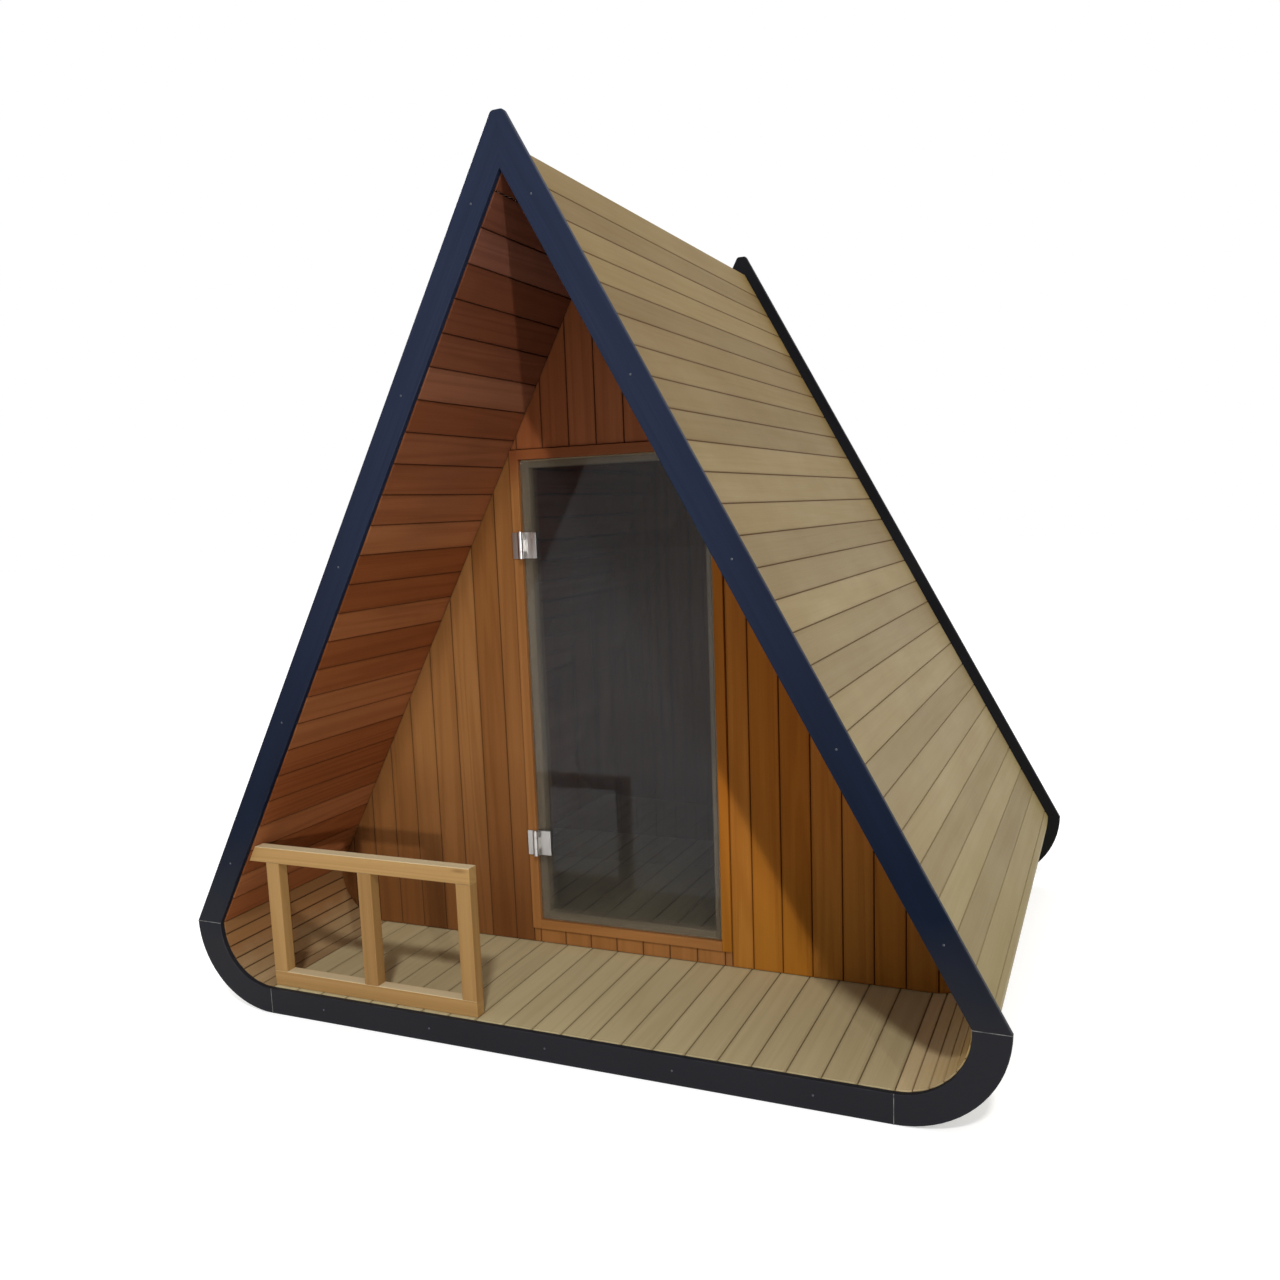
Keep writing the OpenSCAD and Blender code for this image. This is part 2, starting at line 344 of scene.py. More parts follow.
def board_value(tree, name):
    """A value that the mesh keeps at each of its points."""
    return node(tree, "ShaderNodeAttribute", attribute_name=name).outputs["Fac"]


def stretched(tree, place, factors):
    return node(tree, "ShaderNodeVectorMath", {0: place, 1: factors}, operation="MULTIPLY").outputs[0]


def noise(tree, place, scale, detail, roughness=0.5, distortion=0.0):
    made = node(tree, "ShaderNodeTexNoise", {"Vector": place, "Scale": scale, "Detail": detail,
                                             "Roughness": roughness, "Distortion": distortion})
    return made.outputs["Fac"]


def bump(tree, height, strength, distance):
    return node(tree, "ShaderNodeBump", {"Height": height, "Strength": strength, "Distance": distance}).outputs[0]


# Shader groups. A stretch scales places along, across and through a board. A Z is a height range in metres.

RING_STRETCH, RING_TURNS, RING_POWER = (0.35, 9.0, 9.0), 46.0, 1.6
FIBRE_STRETCH = (4.0, 420.0, 420.0)
BLOTCH_STRETCH = (1.6, 8.0, 8.0)
KNOT_STRETCH, KNOT_COLOUR = (2.6, 11.0, 3.0), (0.12, 0.05, 0.015, 1)
KNOT_SHARE, KNOT_EDGE = (0.55, 0.6), (0.1, 0.04)
TONE_DULLING, TONE_HUE_TURN = 0.15, 0.02
SEAM_LIT_TO_SHADED_Z, SEAM_STRENGTH = (0.5, 1.5), 0.95
FOOT_Z, HEIGHT_UNEVENNESS = (0.85, 0.35), 0.25


def timber_grain_group():
    """Grain of a sawn board: growth rings, fine fibres, blotches, knots and a tone for each board."""
    group, given, put = new_group("timber_grain", [
        ("Pale", "NodeSocketColor", (0.5, 0.4, 0.25, 1)),
        ("Dark", "NodeSocketColor", (0.3, 0.2, 0.1, 1)),
        ("Rings", "NodeSocketFloat", 0.5),
        ("Fibres", "NodeSocketFloat", 0.5),
        ("Tone spread", "NodeSocketFloat", 0.25),
        ("Blotches", "NodeSocketFloat", 0.2),
        ("Knots", "NodeSocketFloat", 0.0),
    ], [("Color", "NodeSocketColor"), ("Figure", "NodeSocketFloat"), ("Height", "NodeSocketFloat")])
    place = node(group, "ShaderNodeAttribute", attribute_name="grain").outputs["Vector"]
    swirl = noise(group, stretched(group, place, RING_STRETCH), 1.0, 2.0, roughness=0.45, distortion=0.6)
    rings = ranged(group, maths(group, "SINE", maths(group, "MULTIPLY", swirl, RING_TURNS)), -1.0, 1.0)
    rings = maths(group, "POWER", rings, RING_POWER)
    fibres = ranged(group, noise(group, stretched(group, place, FIBRE_STRETCH), 1.0, 3.0, roughness=0.6), 0.3, 0.7)
    blotches = ranged(group, noise(group, stretched(group, place, BLOTCH_STRETCH), 1.0, 2.0), 0.3, 0.7)
    figure = maths(group, "ADD", maths(group, "MULTIPLY", rings, given.outputs["Rings"]),
                   maths(group, "MULTIPLY", fibres, given.outputs["Fibres"]))
    figure = maths(group, "ADD", figure, maths(group, "MULTIPLY", blotches, given.outputs["Blotches"]), clamp=True)
    colour = mixed(group, figure, given.outputs["Pale"], given.outputs["Dark"])
    cells = node(group, "ShaderNodeTexVoronoi", {"Vector": stretched(group, place, KNOT_STRETCH), "Scale": 1.0})
    draw = node(group, "ShaderNodeSeparateColor", {0: cells.outputs["Color"]}).outputs[0]
    knots = maths(group, "MULTIPLY", ranged(group, cells.outputs["Distance"], *KNOT_EDGE),
                  ranged(group, draw, *KNOT_SHARE))
    knots = maths(group, "MULTIPLY", knots, given.outputs["Knots"], clamp=True)
    colour = mixed(group, knots, colour, mixed(group, 0.7, given.outputs["Dark"], KNOT_COLOUR))
    spread = maths(group, "MULTIPLY", maths(group, "SUBTRACT", board_value(group, "tone"), 0.5),
                   given.outputs["Tone spread"])
    varied = node(group, "ShaderNodeHueSaturation", {
        "Hue": maths(group, "ADD", maths(group, "MULTIPLY", spread, TONE_HUE_TURN), 0.5),
        "Saturation": maths(group, "SUBTRACT", 1.0, maths(group, "MULTIPLY", spread, TONE_DULLING)),
        "Value": maths(group, "ADD", spread, 1.0),
        "Color": colour,
    })
    hollows = maths(group, "ADD", maths(group, "MULTIPLY", fibres, 0.6), maths(group, "MULTIPLY", rings, 0.4))
    feed_named(group, put, {"Color": varied.outputs[0], "Figure": figure,
                            "Height": maths(group, "SUBTRACT", 1.0, hollows)})
    return group


def seam_shade_group():
    """Darkens a colour towards the bottom of the grooves between boards, with its own colour low down; a paler colour
    there is painted light on the grooves.
    """
    group, given, put = new_group("seam_shade", [
        ("Color", "NodeSocketColor", (0.5, 0.5, 0.5, 1)),
        ("Seam color", "NodeSocketColor", (0.05, 0.03, 0.01, 1)),
        ("Low seam color", "NodeSocketColor", (0.05, 0.03, 0.01, 1)),
    ], [("Color", "NodeSocketColor")])
    depth = ranged(group, board_value(group, "seam"), 0.2, 1.0)
    depth = maths(group, "MULTIPLY", depth, SEAM_STRENGTH, clamp=True)
    height = height_of(group, object_place(group))
    # Low on the cabin the seams take the low colour, which is painted light where it is paler.
    groove = mixed(group, ranged(group, height, *SEAM_LIT_TO_SHADED_Z), given.outputs["Low seam color"],
                   given.outputs["Seam color"])
    feed(group, put.inputs["Color"], mixed(group, depth, given.outputs["Color"], groove))
    return group


def edge_rub_group():
    """Mask of paint that is rubbed thin along the arrises, and of dust in faint patches."""
    group, given, put = new_group("edge_rub", [
        ("Scale", "NodeSocketFloat", 30.0),
        ("Amount", "NodeSocketFloat", 0.5),
    ], [("Rub", "NodeSocketFloat"), ("Dust", "NodeSocketFloat")])
    place = object_place(group)
    patchy = ranged(group, noise(group, place, given.outputs["Scale"], 3.0), 0.35, 0.7)
    edge = ranged(group, board_value(group, "seam"), 0.1, RUB_SEAM)
    rub = maths(group, "MULTIPLY", maths(group, "MULTIPLY", edge, patchy), given.outputs["Amount"], clamp=True)
    feed_named(group, put, {"Rub": rub, "Dust": ranged(group, noise(group, place, 2.2, 3.0), 0.35, 0.75)})
    return group


def stain_and_painted_shade_group():
    """Broad patches of stain, a tint that grows with height, which is painted shade, and a tint towards the ground,
    which is painted shade on the walls.
    """
    group, given, put = new_group("stain_and_painted_shade", [
        ("Color", "NodeSocketColor", (0.5, 0.5, 0.5, 1)),
        ("Patch tint", "NodeSocketColor", (1, 1, 1, 1)),
        ("Patches", "NodeSocketFloat", 0.0),
        ("High tint", "NodeSocketColor", (1, 1, 1, 1)),
        ("Low", "NodeSocketFloat", 1.0),
        ("High", "NodeSocketFloat", 2.4),
        ("Foot tint", "NodeSocketColor", (1, 1, 1, 1)),
    ], [("Color", "NodeSocketColor")])
    place = object_place(group)
    uneven = noise(group, place, 3.2, 4.0, roughness=0.6)
    patches = maths(group, "MULTIPLY", ranged(group, uneven, 0.42, 0.66), given.outputs["Patches"])
    stained = mixed(group, patches, given.outputs["Color"], given.outputs["Patch tint"], "MULTIPLY")
    # The tint that grows with height is painted shade; the tint towards the ground is painted shade on the walls.
    height = maths(group, "ADD", height_of(group, place), maths(group, "MULTIPLY", uneven, HEIGHT_UNEVENNESS))
    climb = ranged(group, height, given.outputs["Low"], given.outputs["High"])
    shaded_high = mixed(group, climb, stained, given.outputs["High tint"], "MULTIPLY")
    foot = ranged(group, height, *FOOT_Z)
    feed(group, put.inputs["Color"], mixed(group, foot, shaded_high, given.outputs["Foot tint"], "MULTIPLY"))
    return group


STAIN_AND_PAINTED_SHADE = stain_and_painted_shade_group()
TIMBER_GRAIN = timber_grain_group()
SEAM_SHADE = seam_shade_group()
EDGE_RUB = edge_rub_group()


# Finishes

# Heights at which the rim paint takes its painted shade and its grey foot, and how much dust shifts them.
RIM_SHADE_Z, RIM_FOOT_GREY_Z, RIM_HEIGHT_UNEVENNESS = (1.7, 0.6), (0.5, 0.2), -0.15
RIM_GLOSS = 0.06
WORN_PAINT, PAINT_DUST, PAINT_DUST_AMOUNT = (0.08, 0.085, 0.1, 1), (0.09, 0.09, 0.1, 1), 0.03
FILLER_PALE, FILLER_DARK = (0.16, 0.155, 0.145, 1), (0.04, 0.042, 0.046, 1)
SCREW_PAINT, SCREW_METAL = (0.016, 0.02, 0.036, 1), (0.1, 0.1, 0.11, 1)
GLASS_DARK, GLASS_PALE = (0.25, 0.265, 0.29, 1), (0.3, 0.315, 0.34, 1)
STEEL_DARK, STEEL_PALE = (0.47, 0.455, 0.435, 1), (0.53, 0.515, 0.495, 1)
BRUSHING = (140.0, 140.0, 9.0)


def new_finish(name):
    finish = bpy.data.materials.new(name)
    finish.use_nodes = True
    tree = finish.node_tree
    return finish, tree, tree.nodes["Principled BSDF"]


def use_group(tree, group, **sources):
    made = tree.nodes.new("ShaderNodeGroup")
    made.node_tree = group
    feed_named(tree, made, sources)
    return made


def dress(tree, shader, **sources):
    feed_named(tree, shader, sources)


def timber_finish(name, pale, dark, seam, rings=0.35, fibres=0.3, tone=0.25, blotches=0.2, knots=0.0,
                  patches=0.0, patch_tint=(1, 1, 1), high_shade_tint=(1, 1, 1), climb=(1.0, 2.4),
                  foot_tint=(1, 1, 1), lit_low_seam=None, gloss=0.15):
    finish, tree, shader = new_finish(name)
    grain = use_group(tree, TIMBER_GRAIN, Pale=(*pale, 1), Dark=(*dark, 1), Rings=rings, Fibres=fibres,
                      Tone_spread=tone, Blotches=blotches, Knots=knots)
    stained_and_shaded = use_group(tree, STAIN_AND_PAINTED_SHADE, Color=grain.outputs["Color"], Patch_tint=(*patch_tint, 1), Patches=patches,
                        High_tint=(*high_shade_tint, 1), Low=climb[0], High=climb[1], Foot_tint=(*foot_tint, 1))
    seams = use_group(tree, SEAM_SHADE, Color=stained_and_shaded.outputs["Color"], Seam_color=(*seam, 1),
                      Low_seam_color=(*(lit_low_seam or seam), 1))
    dress(tree, shader, Base_Color=seams.outputs["Color"],
          Roughness=ranged(tree, grain.outputs["Figure"], 0.0, 1.0, 0.5, 0.65),
          Normal=bump(tree, grain.outputs["Height"], 0.25, 0.0006), Specular_IOR_Level=gloss)
    return finish


def rim_paint_finish(name, pale, dark, low_shade_tint, foot_grey):
    finish, tree, shader = new_finish(name)
    grain = use_group(tree, TIMBER_GRAIN, Pale=(*pale, 1), Dark=(*dark, 1), Rings=0.2, Fibres=0.45, Tone_spread=0.2,
                      Blotches=0.45)
    rub = use_group(tree, EDGE_RUB, Scale=26.0, Amount=0.16)
    dust = rub.outputs["Dust"]
    height = height_of(tree, object_place(tree))
    uneven = maths(tree, "ADD", height, maths(tree, "MULTIPLY", dust, RIM_HEIGHT_UNEVENNESS))
    # Painted shade lower down, then a grey foot: dust together with painted light.
    shaded_low = mixed(tree, ranged(tree, uneven, *RIM_SHADE_Z), grain.outputs["Color"],
                   mixed(tree, 1.0, grain.outputs["Color"], (*low_shade_tint, 1), "MULTIPLY"))
    greyed_foot = mixed(tree, ranged(tree, uneven, *RIM_FOOT_GREY_Z), shaded_low, (*foot_grey, 1))
    worn = mixed(tree, rub.outputs["Rub"], greyed_foot, WORN_PAINT)
    dusty = mixed(tree, maths(tree, "MULTIPLY", dust, PAINT_DUST_AMOUNT), worn, PAINT_DUST)
    dress(tree, shader, Base_Color=dusty, Roughness=ranged(tree, dust, 0.0, 1.0, 0.38, 0.55),
          Normal=bump(tree, grain.outputs["Height"], 0.2, 0.0005), Specular_IOR_Level=RIM_GLOSS)
    return finish


def joint_filler_finish():
    finish, tree, shader = new_finish("joint_filler")
    patches = noise(tree, object_place(tree), 60.0, 3.0)
    dress(tree, shader, Base_Color=mixed(tree, ranged(tree, patches, 0.4, 0.65), FILLER_PALE, FILLER_DARK),
          Roughness=ranged(tree, patches, 0.3, 0.7, 0.55, 0.75))
    return finish


def painted_screw_finish():
    finish, tree, shader = new_finish("painted_screw")
    chips = noise(tree, object_place(tree), 700.0, 2.0)
    dress(tree, shader, Base_Color=mixed(tree, ranged(tree, chips, 0.5, 0.62), SCREW_PAINT, SCREW_METAL),
          Roughness=ranged(tree, chips, 0.3, 0.7, 0.5, 0.35))
    return finish


def tinted_glass_finish():
    finish, tree, shader = new_finish("tinted_glass")
    film = noise(tree, object_place(tree), 3.0, 3.0)
    dress(tree, shader, Base_Color=mixed(tree, ranged(tree, film, 0.3, 0.7), GLASS_DARK, GLASS_PALE),
          Roughness=ranged(tree, film, 0.3, 0.8, 0.0, 0.03), Transmission_Weight=0.96, IOR=1.33,
          Specular_IOR_Level=0.035, Alpha=0.6)
    return finish


def satin_steel_finish():
    finish, tree, shader = new_finish("satin_steel")
    lines = noise(tree, stretched(tree, object_place(tree), BRUSHING), 1.0, 1.0)
    dress(tree, shader, Base_Color=mixed(tree, lines, STEEL_DARK, STEEL_PALE), Metallic=1.0,
          Roughness=ranged(tree, lines, 0.2, 0.8, 0.26, 0.32))
    return finish


# The outside faces: darker and browner towards the ridge, painted shade; seams paler low down, painted light; darker
# and less blue near the ground.
SHELL_OUTSIDE = timber_finish("shell_outside", (0.28, 0.215, 0.109), (0.214, 0.155, 0.067), (0.082, 0.028, 0.006),
                              tone=0.25, rings=0.12, fibres=0.22, blotches=0.35, knots=0.35, patches=0.8,
                              patch_tint=(0.93, 0.9, 0.9), high_shade_tint=(0.76, 0.67, 0.47), climb=(1.1, 2.1),
                              foot_tint=(0.85, 0.86, 0.68), lit_low_seam=(0.235, 0.182, 0.086))
# The slopes' inside faces: a darker, redder copy of the outside timber, painted shade and warm bounced light, darker
# and purpler towards the apex, painted shade.
SHELL_INSIDE = timber_finish("shell_inside", (0.275, 0.09, 0.028), (0.172, 0.05, 0.0145), (0.068, 0.021, 0.007),
                             tone=0.4, patches=0.5, patch_tint=(0.88, 0.88, 0.9), high_shade_tint=(0.7, 0.79, 1.45),
                             climb=(1.5, 2.3))
# Inside of the left corner: pale timber like the floor, browner and darker up the corner, painted shade.
CORNER_INSIDE = timber_finish("corner_inside", (0.44, 0.34, 0.185), (0.32, 0.24, 0.118), (0.1, 0.053, 0.02),
                              tone=1.0, rings=0.2, high_shade_tint=(0.67, 0.43, 0.3), climb=(0.12, 0.3))
# Inside of the right corner: paler and pinker than the floor timber, partly painted light, and browner up the corner,
# painted shade.
RIGHT_CORNER_INSIDE = timber_finish("right_corner_inside", (0.58, 0.455, 0.26), (0.43, 0.325, 0.172),
                                    (0.14, 0.07, 0.026), tone=0.12, rings=0.2, high_shade_tint=(1.0, 0.85, 0.45),
                                    climb=(0.22, 0.4))
FLOOR_TIMBER = timber_finish("floor_timber", (0.49, 0.407, 0.232), (0.36, 0.284, 0.145), (0.14, 0.098, 0.043),
                             tone=0.12, rings=0.2, knots=0.35)
# The wall boards darken towards the ground, painted shade.
WALL_CEDAR = timber_finish("wall_cedar", (0.25, 0.107, 0.0305), (0.163, 0.062, 0.0145), (0.072, 0.027, 0.0065),
                           tone=0.35, foot_tint=(0.62, 0.54, 0.5))
# The gable takes a redder copy of the wall cedar, painted shade with warm bounced light.
SHADED_GABLE_CEDAR = timber_finish("shaded_gable_cedar", (0.272, 0.088, 0.029), (0.177, 0.0505, 0.0138), (0.072, 0.022, 0.006),
                            tone=0.35)
# The right wall and right jamb take a redder, more saturated copy of the wall cedar, painted shade with warm bounced
# light, browner towards the ground, painted shade.
SHADED_WALL_CEDAR = timber_finish("shaded_wall_cedar", (0.38, 0.13, 0.014), (0.25, 0.075, 0.006), (0.1, 0.028, 0.003),
                               tone=0.25, foot_tint=(0.82, 0.95, 1.18), gloss=0.08)
# The frame darkens and reddens at its top by the door head, painted shade.
FRAME_CEDAR = timber_finish("frame_cedar", (0.275, 0.117, 0.034), (0.19, 0.074, 0.0175), (0.08, 0.03, 0.008),
                            tone=0.12, high_shade_tint=(0.72, 0.5, 0.5), climb=(1.68, 1.8))
STOP_PINE = timber_finish("stop_pine", (0.4, 0.31, 0.185), (0.3, 0.22, 0.12), (0.08, 0.03, 0.008), tone=0.12)
RAILING_PINE = timber_finish("railing_pine", (0.335, 0.195, 0.07), (0.235, 0.124, 0.037), (0.28, 0.15, 0.048),
                             tone=0.4, rings=0.3, knots=0.8)
# Faces of the railing that point up take this paler finish, painted light from above.
RAILING_LIT_TOP = timber_finish("railing_top", (0.59, 0.48, 0.3), (0.49, 0.375, 0.203), (0.28, 0.15, 0.048),
                            tone=0.2, rings=0.2, knots=0.4)
# The rim paint darkens and turns bluer lower down, painted shade, and greys at the foot, dust together with painted
# light.
RIM_PAINT = rim_paint_finish("rim_paint", (0.0168, 0.0238, 0.0485), (0.01, 0.0142, 0.031), (0.12, 0.26, 0.38),
                             (0.0142, 0.0143, 0.0172))
# The back rim takes a near-black copy of the rim paint, painted shade.
SHADED_BACK_RIM_PAINT = rim_paint_finish("shaded_back_rim_paint", (0.0075, 0.0078, 0.0095), (0.0045, 0.0047, 0.006),
                                  (0.9, 0.9, 0.9), (0.006, 0.006, 0.006))
JOINT_FILLER = joint_filler_finish()
PAINTED_SCREW = painted_screw_finish()
TINTED_GLASS = tinted_glass_finish()
SATIN_STEEL = satin_steel_finish()


# End rims

RIM_EASE, TIP_ROUNDING = 0.003, 0.012


def rim_slope_outline():
    points = [
        Vector((slope_x(RIM_W, CORNER_R), CORNER_R)),
        Vector((slope_x(0.0, CORNER_R), CORNER_R)),
        Vector((TIP_FLAT / 2, BODY_H)),
        Vector((0.0, BODY_H)),
        Vector((0.0, apex_z(RIM_W))),
    ]
    return rounded(points, [0, 0, TIP_ROUNDING, 0, 0])


def rim_corner_outline(steps=18):
    outer = [corner_point(0.0, k / steps) for k in range(steps + 1)]
    inner = [corner_point(RIM_W, k / steps) for k in range(steps + 1)]
    return outer + inner[::-1]


# Ways the grain runs: each turns a point of the cabin into (along, across, depth)

UP_SLOPE = Vector((-math.sin(LEAN), 0.0, math.cos(LEAN)))
OUT_OF_SLOPE = Vector((math.cos(LEAN), 0.0, math.sin(LEAN)))


def along_slope(p):
    return (p.dot(UP_SLOPE), p.dot(OUT_OF_SLOPE), p.y)


def across_cabin(p):
    return (p.x, p.z, p.y)


def upright(p):
    return (p.z, p.x, p.y)


def along_cabin(p):
    return (p.y, p.x, p.z)


def slope_stave(p):
    return (p.y, p.dot(UP_SLOPE), p.dot(OUT_OF_SLOPE))


def round_corner(p):
    turn = math.atan2(p.z - CORNER_R, p.x - CORNER_X)
    reach = math.hypot(p.z - CORNER_R, p.x - CORNER_X)
    return (turn * CORNER_R, reach, p.y)


def corner_stave(p):
    turn, reach, along = round_corner(p)
    return (along, turn, reach)


def make_rim(end, y, seed, paint):
    slope = Timber(seed)
    outline = rim_slope_outline()
    slope.plain_board(outline, y, y + RIM_T, along_slope, RIM_EASE, (0, len(outline) - 2))
    corner = Timber(seed + 1)
    outline = rim_corner_outline()
    corner.plain_board(outline, y, y + RIM_T, round_corner, RIM_EASE, (len(outline) // 2 - 1, len(outline) - 1))
    bottom = Timber(seed + 2)
    outline = box_outline(-CORNER_X, CORNER_X, 0.0, RIM_W)
    bottom.plain_board(outline, y, y + RIM_T, across_cabin, RIM_EASE, (1, 3))
    for side, slope_part, corner_part in (("right", slope, corner), ("left", slope.mirrored(), corner.mirrored())):
        slope_part.piece(f"{end}_rim_{side}_board", [paint], "cabin", [f"{end}_rim_{side}"], "rim_paint")
        corner_part.piece(f"{end}_rim_{side}_quarter_ring", [paint], "cabin", [f"{end}_rim_{side}_corner"],
                          "rim_paint")
    bottom.piece(f"{end}_rim_bottom_board", [paint], "cabin", [f"{end}_rim_bottom"], "rim_paint")


make_rim("front", FRONT_Y, 11, RIM_PAINT)
# The back rim's near-black paint is painted shade.
make_rim("back", SHELL_Y1, 21, SHADED_BACK_RIM_PAINT)


LINE_HALF_W, LINE_PROUD, LINE_DEEP, LINE_MARGIN, LINE_EASE = 0.0009, 0.0002, 0.002, 0.0005, 0.0002


def rim_joint_lines(end, face_y, outward):
    """Thin filled lines where the boards of a rim meet."""
    for side, label in ((1, "right"), (-1, "left")):
        lines = Timber(25 + side)
        high = box_outline(slope_x(RIM_W, CORNER_R), slope_x(0.0, CORNER_R) - LINE_MARGIN,
                           CORNER_R - LINE_HALF_W, CORNER_R + LINE_HALF_W)
        low = box_outline(CORNER_X - LINE_HALF_W, CORNER_X + LINE_HALF_W, LINE_MARGIN, RIM_W)
        y0, y1 = sorted((face_y + outward * LINE_PROUD, face_y - outward * LINE_DEEP))
        for outline in (high, low):
            lines.plain_board(outline, y0, y1, across_cabin, LINE_EASE)
        if side < 0:
            lines = lines.mirrored()
        lines.piece(f"{end}_rim_{label}_joint_lines", [JOINT_FILLER], "cabin", [], "rim_paint")


rim_joint_lines("front", FRONT_Y, -1)
rim_joint_lines("back", HALF_L, 1)


SCREW_R, SCREW_SIDES = 0.003, 16
SCREW_PROFILE = ((1.0, -0.0006), (1.0, 0.0003), (0.8, 0.0009), (0.45, 0.0011), (0.3, 0.0011), (0.2, 0.0002))
SLOPE_SCREW_HEIGHTS = (2.262, 1.815, 1.369, 0.92, 0.47)
BOTTOM_SCREW_PLACES = (-0.75, -0.375, 0.0, 0.375, 0.75)


def screw_head(timber, middle, outward):
    """A low domed screw head with a round dip in its middle. The profile holds (share of the radius, rise)."""
    rings = []
    for share, rise in SCREW_PROFILE:
        reach = SCREW_R * share
        rings.append([middle + Vector((reach * math.cos(k * math.tau / SCREW_SIDES), outward * rise,
                                       reach * math.sin(k * math.tau / SCREW_SIDES))) for k in range(SCREW_SIDES)])
    timber.board(rings, [[0.0] * SCREW_SIDES] * len(rings), across_cabin)


def rim_screws(end, face_y, outward):
    screws = Timber(27)
    middle = RIM_W / 2
    for side in (-1, 1):
        for z in SLOPE_SCREW_HEIGHTS:
            screw_head(screws, Vector((side * slope_x(middle, z), face_y, z)), outward)
    for x in BOTTOM_SCREW_PLACES:
        screw_head(screws, Vector((x, face_y, middle)), outward)
    screws.piece(f"{end}_rim_screws", [PAINTED_SCREW], "cabin", [], "rim_paint", sharp=40)


rim_screws("front", FRONT_Y, -1)
rim_screws("back", HALF_L, 1)


# Shell

FACES_IN, FACES_END = 0.2, 0.5
# The left corner takes low tones, which darken it: painted shade.
RIGHT_CORNER_TONES, SHADED_LEFT_CORNER_TONES = (0.5, 0.9), (0.25, 0.4)


def stave_outline(width):
    """Cross-section of a stave with half a groove along each edge of both faces, as (across, depth, seam)."""
    half = width / 2
    face, lip, side = half - GROOVE_W - ARRIS, half - GROOVE_W, half - JOINT
    soft = face - SOFT_EDGE
    right = [
        (soft, 0.0, SOFT_SEAM), (face, 0.0, ARRIS_SEAM),
        (lip, -ARRIS_DROP, LIP_SEAM), (side, -OUTER_GROOVE_D, GROOVE_SEAM),
        (side, GROOVE_D - STAVE_T, GROOVE_SEAM), (lip, ARRIS_DROP - STAVE_T, LIP_SEAM),
        (face, -STAVE_T, ARRIS_SEAM), (soft, -STAVE_T, SOFT_SEAM),
    ]
    return right + [(-across, depth, seam) for across, depth, seam in reversed(right)]


def shell_slope(seed):
    timber = Timber(seed)
    foot = Vector((slope_x(RIM_PROUD, CORNER_R), CORNER_R))
    up, out = Vector((UP_SLOPE.x, UP_SLOPE.z)), Vector((OUT_OF_SLOPE.x, OUT_OF_SLOPE.z))
    length = (RIDGE_Z - CORNER_R) / math.cos(LEAN)
    count = int((length - FIRST_STAVE) / STAVE_PITCH)
    edges = [FIRST_STAVE - STAVE_PITCH] + [FIRST_STAVE + k * STAVE_PITCH for k in range(count)]
    edges.append(length + STAVE_PITCH)
    for low, high in zip(edges, edges[1:]):
        middle = foot + up * ((low + high) / 2)
        outline = [(middle + up * across + out * depth, seam)
                   for across, depth, seam in stave_outline(high - low)]
        outline = cut(outline, (0.0, CORNER_R), (0, 1))
        outline = cut(outline, (JOINT, 0.0), (1, 0))
        outline = cut(outline, (0.0, RIDGE_Z), (0, -1))
        if len(outline) > 2:
            timber.length_board(outline, SHELL_Y0, SHELL_Y1, slope_stave)
    return timber


def shell_corner(seed, tones, steps=4):
    timber = Timber(seed)
    for k in range(CORNER_STAVES):
        low, high = k / CORNER_STAVES, (k + 1) / CORNER_STAVES
        sides = []
        for offset in (RIM_PROUD, FLOOR_O):
            span = (corner_point(offset, 1) - corner_point(offset, 0)).length * ARC_PER_CHORD
            lip = GROOVE_W / span
            sides.append([corner_point(offset, low + lip + (high - low - 2 * lip) * i / steps)
                          for i in range(steps + 1)])
        outer, inner = sides
        outline = [(p, ARRIS_SEAM if i in (0, steps) else 0.0) for i, p in enumerate(outer)]
        for part in (high, low):
            tip, root = corner_point(RIM_PROUD, part), corner_point(FLOOR_O, part)
            near, far = tip.lerp(root, OUTER_GROOVE_D / STAVE_T), tip.lerp(root, 1 - GROOVE_D / STAVE_T)
            if part == high:
                outline += [(near, GROOVE_SEAM), (far, GROOVE_SEAM)]
                outline += [(p, ARRIS_SEAM if i in (0, steps) else 0.0) for i, p in enumerate(inner[::-1])]
            else:
                outline += [(far, GROOVE_SEAM), (near, GROOVE_SEAM)]
        timber.length_board(outline, SHELL_Y0, SHELL_Y1, corner_stave, timber.draw.uniform(*tones))
    return timber


def floor_deck(seed):
    timber = Timber(seed)
    width = 2 * CORNER_X / FLOOR_BOARDS
    for k in range(FLOOR_BOARDS):
        middle = -CORNER_X + width * (k + 0.5)
        outline = [(Vector((middle + across, FLOOR_O + depth)), seam)
                   for across, depth, seam in stave_outline(width)]
        timber.length_board(outline, SHELL_Y0, SHELL_Y1, along_cabin)
    return timber


def slope_faces_in(side):
    inward = Vector((-side * OUT_OF_SLOPE.x, 0.0, -OUT_OF_SLOPE.z))

    def pick(middle, normal):
        return 1 if normal.dot(inward) > FACES_IN or abs(normal.y) > FACES_END else 0
    return pick


def corner_faces_in(side):
    def pick(middle, normal):
        to_middle = Vector((side * CORNER_X - middle.x, 0.0, CORNER_R - middle.z))
        return 1 if normal.dot(to_middle.normalized()) > FACES_IN or abs(normal.y) > FACES_END else 0
    return pick


